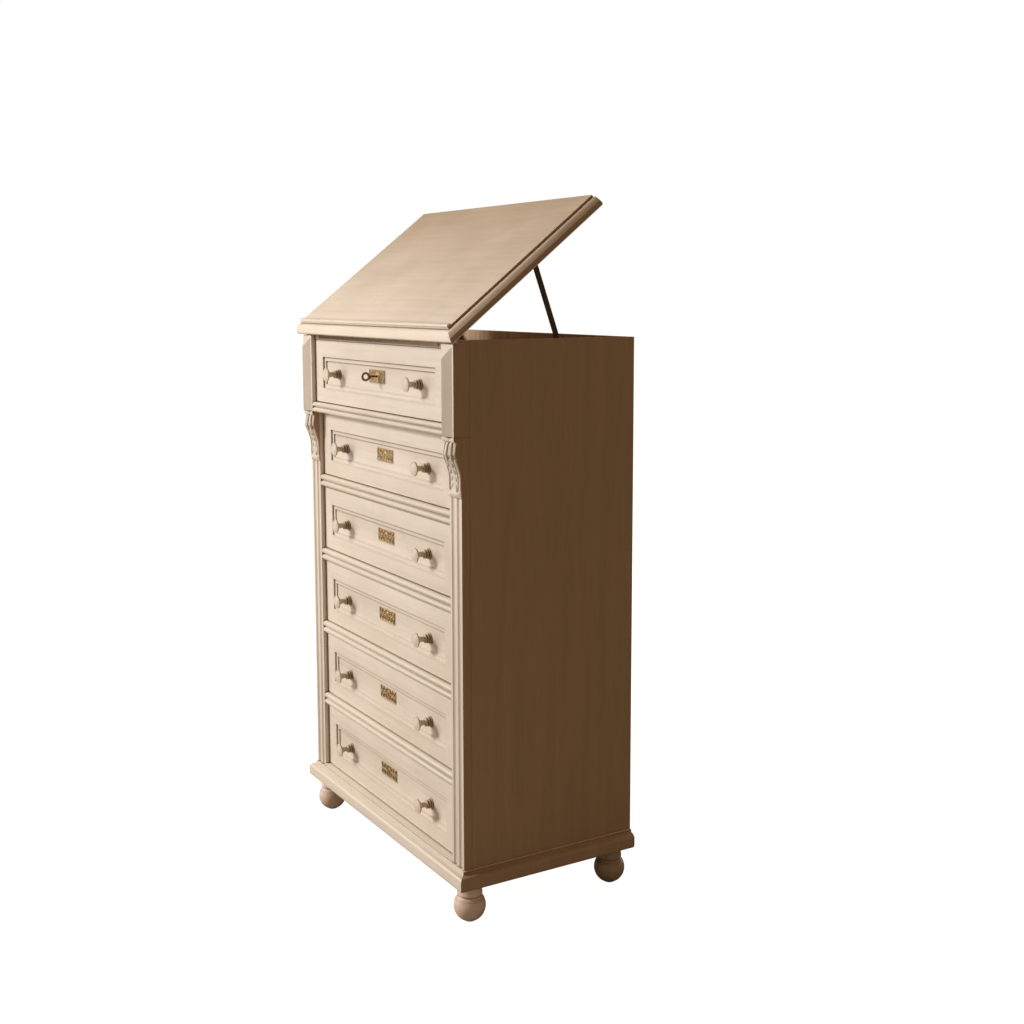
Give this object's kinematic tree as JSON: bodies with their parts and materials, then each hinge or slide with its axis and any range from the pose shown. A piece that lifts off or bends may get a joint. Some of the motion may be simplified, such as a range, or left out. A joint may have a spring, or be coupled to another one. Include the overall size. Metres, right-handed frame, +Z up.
{
  "type": "secretaire chest",
  "caption": "Tall painted chest of drawers with a front-hinged lectern lid on a prop stay, corbelled top section, fluted pilasters, moulded plinth and turned bun feet.",
  "frame": {"origin": "on the floor, under the middle of the bounding box", "axes": "+X along the front to the right as seen from the front, +Y from the drawer fronts to the back, +Z up"},
  "size_m": [0.836, 0.4814, 1.5727],
  "materials": {
    "cream_paint": "aged cream paint on wood, satin",
    "brown_side_stain": "brown stained wood, matt",
    "bare_wood": "bare wood",
    "brass": "aged brass",
    "dark_iron": "dark iron"
  },
  "bodies": {
    "case": {"left_side": "brown_side_stain", "right_side": "brown_side_stain", "back_panel": "bare_wood", "bottom_board": "cream_paint", "top_board": "brown_side_stain", "top_rail": "cream_paint", "drawer_divider_1": "cream_paint", "drawer_divider_2": "cream_paint", "drawer_divider_3": "cream_paint", "drawer_divider_4": "cream_paint", "drawer_divider_5": "cream_paint", "upper_post_left": "cream_paint", "upper_post_right": "cream_paint", "corbel_left": "cream_paint", "corbel_right": "cream_paint", "pilaster_left": "cream_paint", "pilaster_right": "cream_paint", "plinth": "cream_paint", "foot_front_left": "cream_paint", "foot_front_right": "cream_paint", "foot_back_left": "cream_paint", "foot_back_right": "cream_paint", "hinge_case_leaf": "brass"},
    "lid": {"lid": "cream_paint", "lid_ledge": "cream_paint", "hinge_lid_leaf": "brass", "stay_bracket": "dark_iron"},
    "stay": {"stay": "dark_iron"},
    "drawer_1": {"drawer_1_front": "cream_paint", "drawer_1_box": "bare_wood", "drawer_1_knob_left": "cream_paint", "drawer_1_knob_right": "cream_paint", "drawer_1_escutcheon": "brass"},
    "drawer_2": {"drawer_2_front": "cream_paint", "drawer_2_box": "bare_wood", "drawer_2_knob_left": "cream_paint", "drawer_2_knob_right": "cream_paint", "drawer_2_escutcheon": "brass"},
    "drawer_3": {"drawer_3_front": "cream_paint", "drawer_3_box": "bare_wood", "drawer_3_knob_left": "cream_paint", "drawer_3_knob_right": "cream_paint", "drawer_3_escutcheon": "brass"},
    "drawer_4": {"drawer_4_front": "cream_paint", "drawer_4_box": "bare_wood", "drawer_4_knob_left": "cream_paint", "drawer_4_knob_right": "cream_paint", "drawer_4_escutcheon": "brass"},
    "drawer_5": {"drawer_5_front": "cream_paint", "drawer_5_box": "bare_wood", "drawer_5_knob_left": "cream_paint", "drawer_5_knob_right": "cream_paint", "drawer_5_escutcheon": "brass"},
    "drawer_6": {"drawer_6_front": "cream_paint", "drawer_6_box": "bare_wood", "drawer_6_knob_left": "cream_paint", "drawer_6_knob_right": "cream_paint", "drawer_6_escutcheon": "brass"},
    "key": {"key": "brass"},
    "lock_bolt": {"lock_bolt": "dark_iron"}
  },
  "joints": [
    {"name": "lid_hinge", "type": "hinge", "parent": "case", "child": "lid", "pos_m": [0, -0.21275, 1.2625], "axis": [1, 0, 0], "range_deg": [-38.2, 0]},
    {"name": "stay_fold", "type": "hinge", "parent": "lid", "child": "stay", "pos_m": [0.3672, 0.00199, 1.41813], "axis": [1, 0, 0], "range_deg": [0, 108.4]},
    {"name": "drawer_1_slide", "type": "slide", "parent": "case", "child": "drawer_1", "axis": [0, -1, 0], "range_m": [0, 0.3]},
    {"name": "drawer_2_slide", "type": "slide", "parent": "case", "child": "drawer_2", "axis": [0, -1, 0], "range_m": [0, 0.3]},
    {"name": "drawer_3_slide", "type": "slide", "parent": "case", "child": "drawer_3", "axis": [0, -1, 0], "range_m": [0, 0.3]},
    {"name": "drawer_4_slide", "type": "slide", "parent": "case", "child": "drawer_4", "axis": [0, -1, 0], "range_m": [0, 0.3]},
    {"name": "drawer_5_slide", "type": "slide", "parent": "case", "child": "drawer_5", "axis": [0, -1, 0], "range_m": [0, 0.3]},
    {"name": "drawer_6_slide", "type": "slide", "parent": "case", "child": "drawer_6", "axis": [0, -1, 0], "range_m": [0, 0.3]},
    {"name": "key_turn", "type": "hinge", "parent": "drawer_1", "child": "key", "pos_m": [0, -0.20725, 1.1715], "axis": [0, 1, 0], "range_deg": [0, 180]},
    {"name": "bolt_slide", "type": "slide", "parent": "drawer_1", "child": "lock_bolt", "axis": [0, 0, 1], "range_m": [0, 0.008]}
  ],
  "couplings": [
    {"joint": "stay_fold", "follows": "lid_hinge", "ratio": -2.8376},
    {"joint": "key_turn", "follows": "bolt_slide", "rad_per_m": 392.69}
  ]
}
